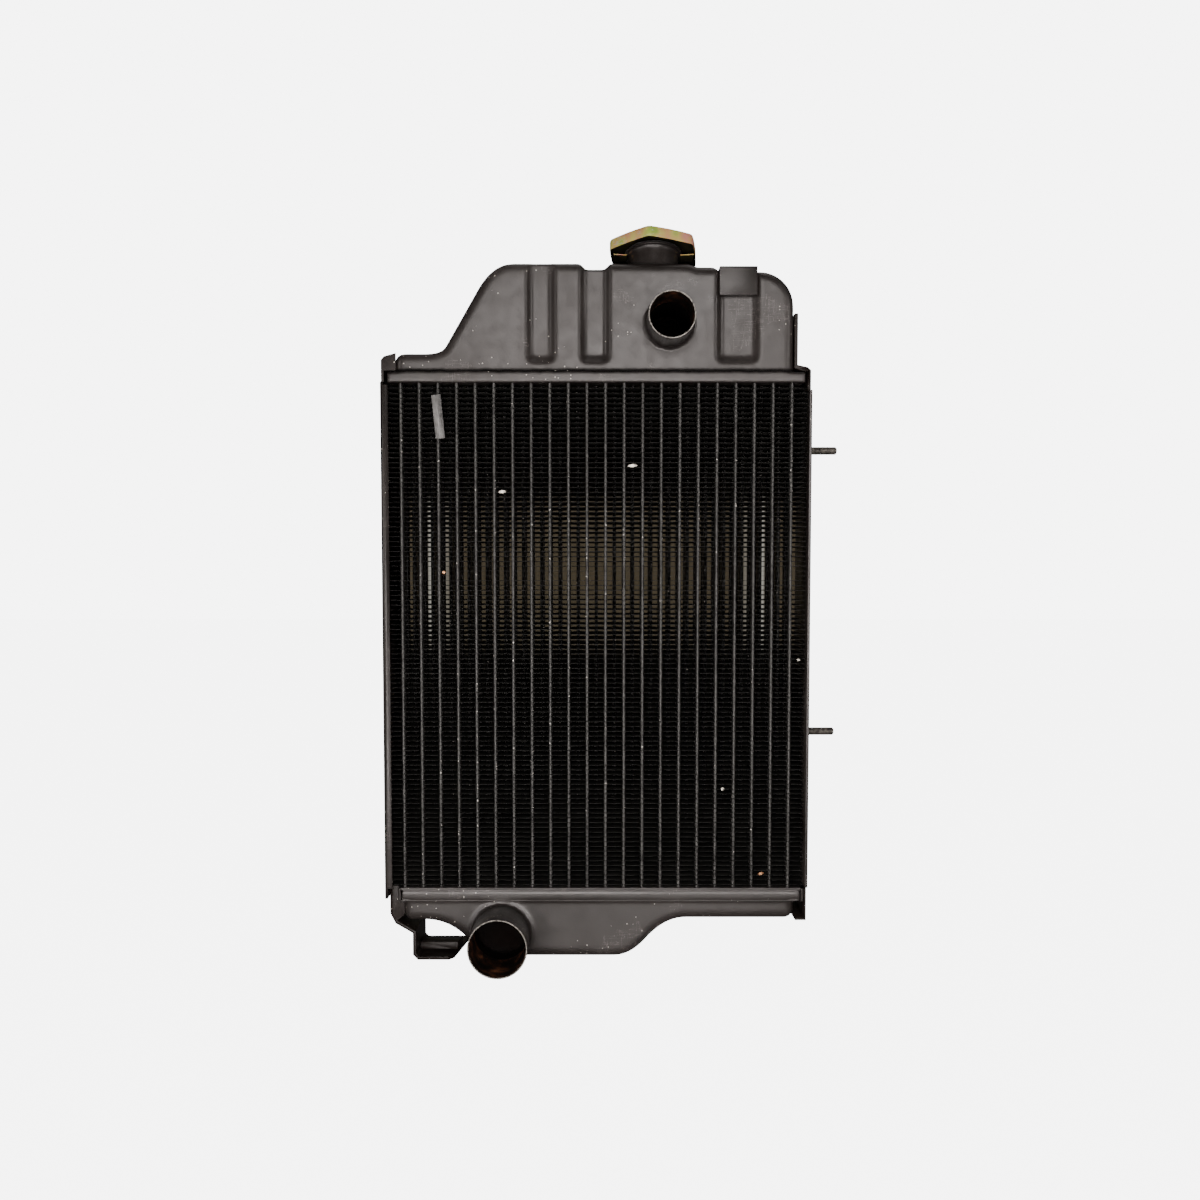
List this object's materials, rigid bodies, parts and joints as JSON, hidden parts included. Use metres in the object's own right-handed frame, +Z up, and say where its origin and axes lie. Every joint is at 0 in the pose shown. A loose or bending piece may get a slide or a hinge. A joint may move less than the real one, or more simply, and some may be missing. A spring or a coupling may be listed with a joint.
{
  "type": "car radiator",
  "caption": "Black painted upright radiator: finned tube core between pressed tanks, two hose pipes, a filler neck with a pressure cap, brackets and side studs.",
  "frame": {"origin": "on the bottom tank's flat underside, below the middle of the core", "axes": "+X across the core towards the side with the studs, +Y from the hose pipes towards the back, +Z up"},
  "size_m": [0.4459, 0.1421, 0.7171],
  "materials": {
    "black_paint": "satin black paint over pressed steel, with small scratches and weld spatter",
    "tube_metal": "thin worn paint on flat tube noses",
    "fin_metal": "matt black overspray on thin fins",
    "zinc_plate": "yellow passivated zinc with a faint rainbow",
    "bare_steel": "plain bright steel",
    "stud_steel": "black steel thread with worn crests",
    "rubber_seal": "moulded black rubber",
    "brass_fitting": "turned brass",
    "tag_plate": "blank dull metal strip"
  },
  "bodies": {
    "root": {"core_fins": "fin_metal", "tube_01": "tube_metal", "tube_02": "tube_metal", "tube_03": "tube_metal", "tube_04": "tube_metal", "tube_05": "tube_metal", "tube_06": "tube_metal", "tube_07": "tube_metal", "tube_08": "tube_metal", "tube_09": "tube_metal", "tube_10": "tube_metal", "tube_11": "tube_metal", "tube_12": "tube_metal", "tube_13": "tube_metal", "tube_14": "tube_metal", "tube_15": "tube_metal", "tube_16": "tube_metal", "tube_17": "tube_metal", "tube_18": "tube_metal", "tube_19": "tube_metal", "tube_20": "tube_metal", "tube_21": "tube_metal", "tube_22": "tube_metal", "tube_row_2": "tube_metal", "tube_row_3": "tube_metal", "tube_row_4": "tube_metal", "top_tank": "black_paint", "bottom_tank": "black_paint", "upper_header_plate": "black_paint", "lower_header_plate": "black_paint", "inlet_pipe": "black_paint", "outlet_pipe": "black_paint", "filler_neck": "black_paint", "overflow_spout": "black_paint", "tank_strap": "black_paint", "left_side_plate": "black_paint", "right_side_plate": "black_paint", "left_foot_bracket": "black_paint", "right_tank_bracket": "black_paint", "left_tank_bracket": "black_paint", "lower_right_end_plate": "black_paint", "drain_boss": "black_paint", "upper_stud": "stud_steel", "lower_stud": "stud_steel", "drain_tap_body": "brass_fitting", "core_tag": "tag_plate"},
    "cap_carrier": {"cap_rivet": "bare_steel", "cap_gasket": "rubber_seal", "cap_spring": "bare_steel"},
    "cap_cover": {"cap_shell": "zinc_plate"},
    "pressure_valve": {"pressure_valve_plate": "brass_fitting", "pressure_seal": "rubber_seal"},
    "vacuum_relief": {"vacuum_valve": "brass_fitting"},
    "drain_key": {"drain_tap_key": "brass_fitting"}
  },
  "joints": [
    {"name": "cap_lift", "type": "slide", "parent": "root", "child": "cap_carrier", "axis": [0, 0.2079, 0.9781], "range_m": [0, 0.06]},
    {"name": "cap_turn", "type": "hinge", "parent": "cap_carrier", "child": "cap_cover", "pos_m": [0.0562, 0, 0.6767], "axis": [0, 0.2079, 0.9781], "range_deg": [0, 90]},
    {"name": "pressure_valve_lift", "type": "slide", "parent": "cap_carrier", "child": "pressure_valve", "axis": [0, 0.2079, 0.9781], "range_m": [0, 0.003], "stiffness_N_per_m": 2000, "springref_m": -0.01, "deforming": ["cap_spring"]},
    {"name": "vacuum_valve_drop", "type": "slide", "parent": "pressure_valve", "child": "vacuum_relief", "axis": [0, -0.2079, -0.9781], "range_m": [0, 0.0015], "stiffness_N_per_m": 60, "springref_m": -0.003},
    {"name": "drain_tap_turn", "type": "hinge", "parent": "root", "child": "drain_key", "pos_m": [-0.02, 0.04, 0.016], "axis": [0, 1, 0], "range_deg": [0, 90]}
  ]
}
